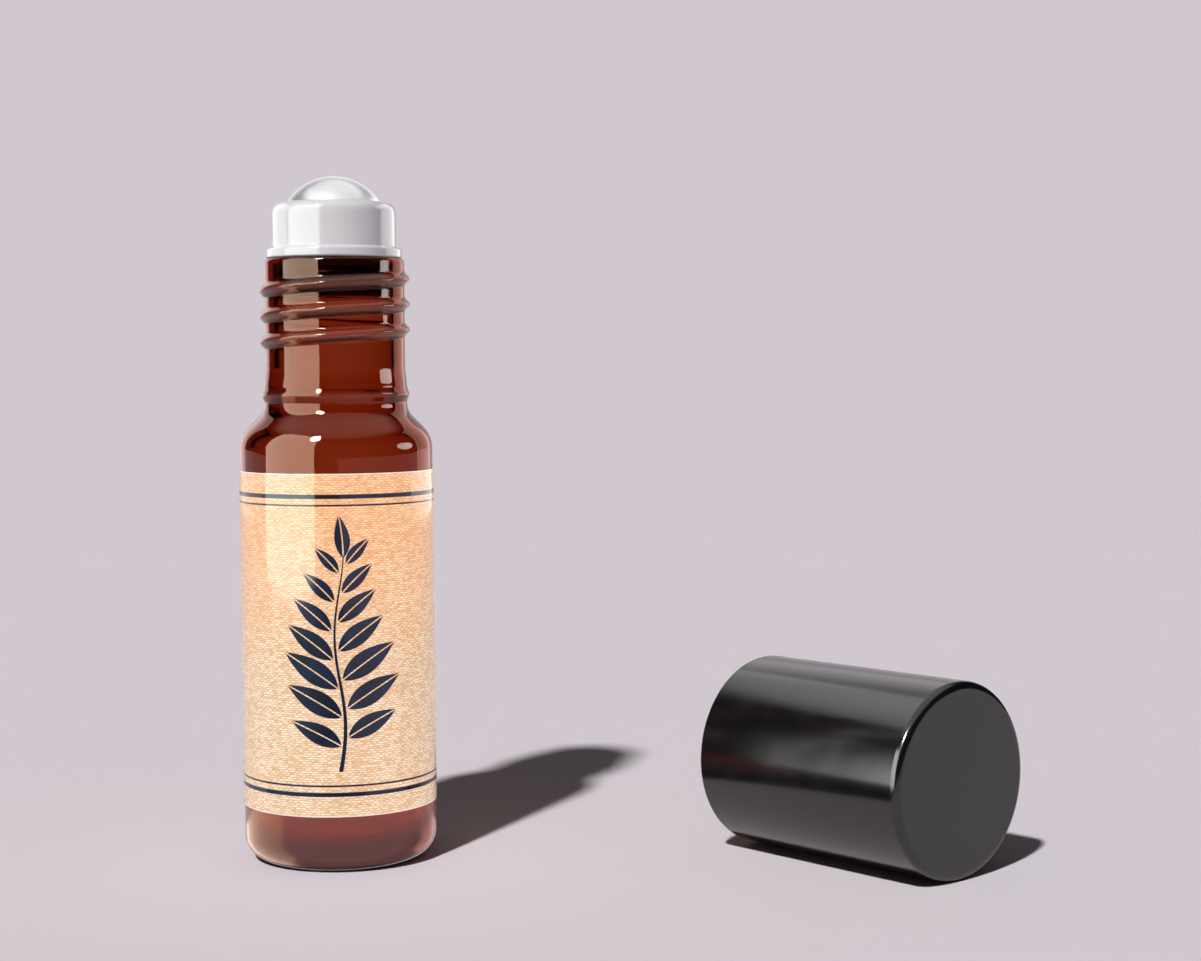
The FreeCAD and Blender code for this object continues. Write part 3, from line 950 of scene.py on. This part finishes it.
def build_world(s):
    """Backdrop for the camera, a dark room in front and pale surroundings behind and above for gloss."""
    world = bpy.data.worlds.new("studio")
    bpy.context.scene.world = world
    world.use_nodes = True
    tree = world.node_tree
    ground = tree.nodes["Background"]
    path = tree.nodes.new("ShaderNodeLightPath").outputs
    heading = tree.nodes.new("ShaderNodeTexCoord").outputs["Generated"]
    away = -studio_axes(s)[0]
    behind = add_node(
        tree, "ShaderNodeVectorMath", {0: heading, 1: away}, operation="DOT_PRODUCT").outputs["Value"]
    upward = add_node(tree, "ShaderNodeSeparateXYZ", {0: heading}).outputs[2]
    dark_room = (0.012, 0.011, 0.012)
    room = blend_colour(tree, ramp(tree, behind, 0.70, 0.86), dark_room, s.backdrop)
    room = blend_colour(tree, ramp(tree, upward, 0.66, 0.84), room, s.ceiling)
    soft = shaded(s.backdrop, s.ambient / s.backdrop[1])
    lit = blend_colour(tree, path["Is Diffuse Ray"], room, soft)
    tree.links.new(blend_colour(tree, path["Is Camera Ray"], lit, s.backdrop), ground.inputs["Color"])


def build_floor(s):
    """Pale floor in three sheets, so that the one in front of the bottle stays out of reflections."""
    towards, left = studio_axes(s)
    paint = floor_paint(s)
    reach = 4.0
    sheets = (
        ("floor_near", (-reach, s.near_floor), (-reach, reach)),
        ("floor_right", (s.near_floor, reach), (-reach, -s.side_floor)),
        ("floor_front", (s.near_floor, reach), (-s.side_floor, reach)),
    )
    for name, forward, sideways in sheets:
        bm = bmesh.new()
        sheet = bmesh.ops.create_grid(bm, x_segments=8, y_segments=8, size=1.0)["verts"]
        for vert in sheet:
            ahead = forward[0] + (forward[1] - forward[0]) * (vert.co.x + 1.0) / 2.0
            beside = sideways[0] + (sideways[1] - sideways[0]) * (vert.co.y + 1.0) / 2.0
            vert.co = towards * ahead + left * beside - Vector((0.0, 0.0, s.floor_gap))
        bmesh.ops.recalc_face_normals(bm, faces=bm.faces)
        if next(iter(bm.faces)).normal.z < 0.0:
            bmesh.ops.reverse_faces(bm, faces=bm.faces)
        floor = add_object(name, bm, paint)
        floor.visible_glossy = name != "floor_front"


def build_camera(s):
    """Camera at the photograph's angle."""
    data = bpy.data.cameras.new("camera")
    data.sensor_fit = "HORIZONTAL"
    data.sensor_width = 36.0
    data.lens = s.lens
    data.clip_start = 0.01
    camera = bpy.data.objects.new("camera", data)
    bpy.context.scene.collection.objects.link(camera)
    camera.location = s.camera
    look = (Vector(s.target) - Vector(s.camera)).to_track_quat("-Z", "Y").to_matrix()
    camera.rotation_euler = (look @ Matrix.Rotation(s.roll, 3, "Z")).to_euler()
    bpy.context.scene.camera = camera


def build_lights(s):
    """Key with crisp shadows, fills for the label, and panels that show in the gloss of single pieces."""
    centre = Vector((0.0, 0.0, s.eye_height))
    glass = ("glass_bottle",)
    printed = ("linen_label", "label_print")
    housing = ("roller_housing",)
    ball = ("roller_ball",)
    cap = ("cap_shell",)
    floors = ("floor_near", "floor_right", "floor_front")
    key_angles = (math.degrees(s.key_azimuth), math.degrees(s.key_height))
    # Each sun: its angles left of the camera and above the floor in degrees, its power, its pieces
    suns = (
        ("key", key_angles, s.key_power, (*glass, *ball, *cap, "cap_seal", *floors)),
        ("fitment_key", (42.0, 52.0), s.fitment_power, housing),
        ("label_key", (18.0, 40.0), s.label_power, printed),
        ("label_fill", (-60.0, 12.0), s.fill_power, printed),
        ("label_left_fill", (82.0, 10.0), s.left_fill_power, printed),
    )
    for name, angles, power, pieces in suns:
        azimuth, height = (math.radians(angle) for angle in angles)
        sun = add_light(name, "SUN", centre + studio_direction(s, azimuth, height), centre)
        sun.data.energy = power
        sun.data.angle = s.key_size
        sun.visible_glossy = name in ("key", "fitment_key")
        light_only(sun, pieces)
    softbox = (59.2, 65.5, -7.0, 54.0)
    rim = (-124.0, 54.0, -40.0, 40.0)
    left_rim = (124.0, 54.0, -40.0, 40.0)
    # Each panel: its angle left of the camera, width, lower and upper edge in degrees, radiance, pieces
    panels = (
        ("glass_softbox", softbox, (5.4, 5.4, 5.4), glass),
        ("glass_card", (-8.0, 164.0, -78.0, -9.0), (0.36, 0.4, 0.49), glass),
        ("glass_left_rim", (115.0, 82.0, -60.0, -8.0), (2.3, 1.75, 1.4), glass),
        ("glass_left_edge", (152.0, 28.0, -8.0, 40.0), (0.9, 0.6, 0.55), glass),
        ("glass_spot", (key_angles[0], 16.0, 37.0, 56.0), (30.0, 40.0, 50.0), glass),
        ("label_softbox", softbox, (3.4, 4.3, 4.0), printed),
        ("softbox", softbox, (4.4, 4.4, 4.4), housing),
        ("cap_softbox", (59.2, 65.5, -7.0, 34.0), (4.2, 4.2, 4.2), cap),
        ("cap_overhead", (134.0, 80.0, 46.0, 64.0), (0.7, 0.7, 0.7), cap),
        ("cap_back", (182.0, 70.0, 20.0, 46.0), (0.4, 0.4, 0.4), cap),
        ("side_window", (-90.0, 26.0, 3.0, 18.0), (4.0, 5.0, 6.0), glass),
        ("glass_rim", (-131.0, 40.0, -40.0, 40.0), (1.4, 0.76, 0.66), glass),
        ("label_rim", rim, (1.6, 1.6, 1.6), printed),
        ("label_left_rim", left_rim, (0.7, 0.7, 0.7), printed),
        ("housing_rim", rim, (2.6, 2.6, 2.6), housing),
        ("housing_left_rim", left_rim, (2.0, 2.0, 2.0), housing),
        ("ball_rim", (-95.0, 110.0, -40.0, 40.0), (1.1, 1.1, 1.1), ball),
        ("ball_left_rim", (95.0, 110.0, -40.0, 62.0), (0.2, 0.2, 0.2), ball),
        ("ball_back", (-150.0, 130.0, 10.0, 60.0), (0.26, 0.26, 0.26), ball),
    )
    for name, angles, radiance, pieces in panels:
        light_only(reflector(s, name, *angles, radiance), pieces)


class ROLLON_OT_stage(bpy.types.Operator):
    """Set the floor, the backdrop, the camera and the lights"""
    bl_idname = "rollon.stage"
    bl_label = "Studio"

    def execute(self, context):
        s = context.scene.rollon_studio
        build_world(s)
        build_floor(s)
        build_camera(s)
        build_lights(s)
        context.scene.view_settings.view_transform = "Standard"
        context.scene.cycles.caustics_refractive = False
        context.scene.cycles.caustics_reflective = False
        return {"FINISHED"}


class ROLLON_PT_panel(bpy.types.Panel):
    """Lists the steps that dress the bottle"""
    bl_idname = "ROLLON_PT_panel"
    bl_label = "Roll-On Bottle"
    bl_space_type = "VIEW_3D"
    bl_region_type = "UI"
    bl_category = "Roll-On Bottle"

    def draw(self, context):
        for step in STEPS:
            self.layout.operator(step.bl_idname)


SETTINGS = {
    "rollon_glass": GlassSettings,
    "rollon_label": LabelSettings,
    "rollon_fitment": FitmentSettings,
    "rollon_cap": CapSettings,
    "rollon_studio": StudioSettings,
}
STEPS = (
    ROLLON_OT_glass,
    ROLLON_OT_label,
    ROLLON_OT_print,
    ROLLON_OT_fitment,
    ROLLON_OT_cap,
    ROLLON_OT_stage,
)


def register():
    for name, group in SETTINGS.items():
        bpy.utils.register_class(group)
        setattr(bpy.types.Scene, name, bpy.props.PointerProperty(type=group))
    for made in (*STEPS, ROLLON_PT_panel):
        bpy.utils.register_class(made)


def unregister():
    for made in (ROLLON_PT_panel, *reversed(STEPS)):
        bpy.utils.unregister_class(made)
    for name, group in reversed(SETTINGS.items()):
        delattr(bpy.types.Scene, name)
        bpy.utils.unregister_class(group)


def main():
    register()
    bpy.ops.rollon.glass()
    bpy.ops.rollon.label()
    bpy.ops.rollon.print()
    bpy.ops.rollon.fitment()
    bpy.ops.rollon.cap()
    bpy.ops.rollon.stage()


if __name__ == "__main__":
    main()
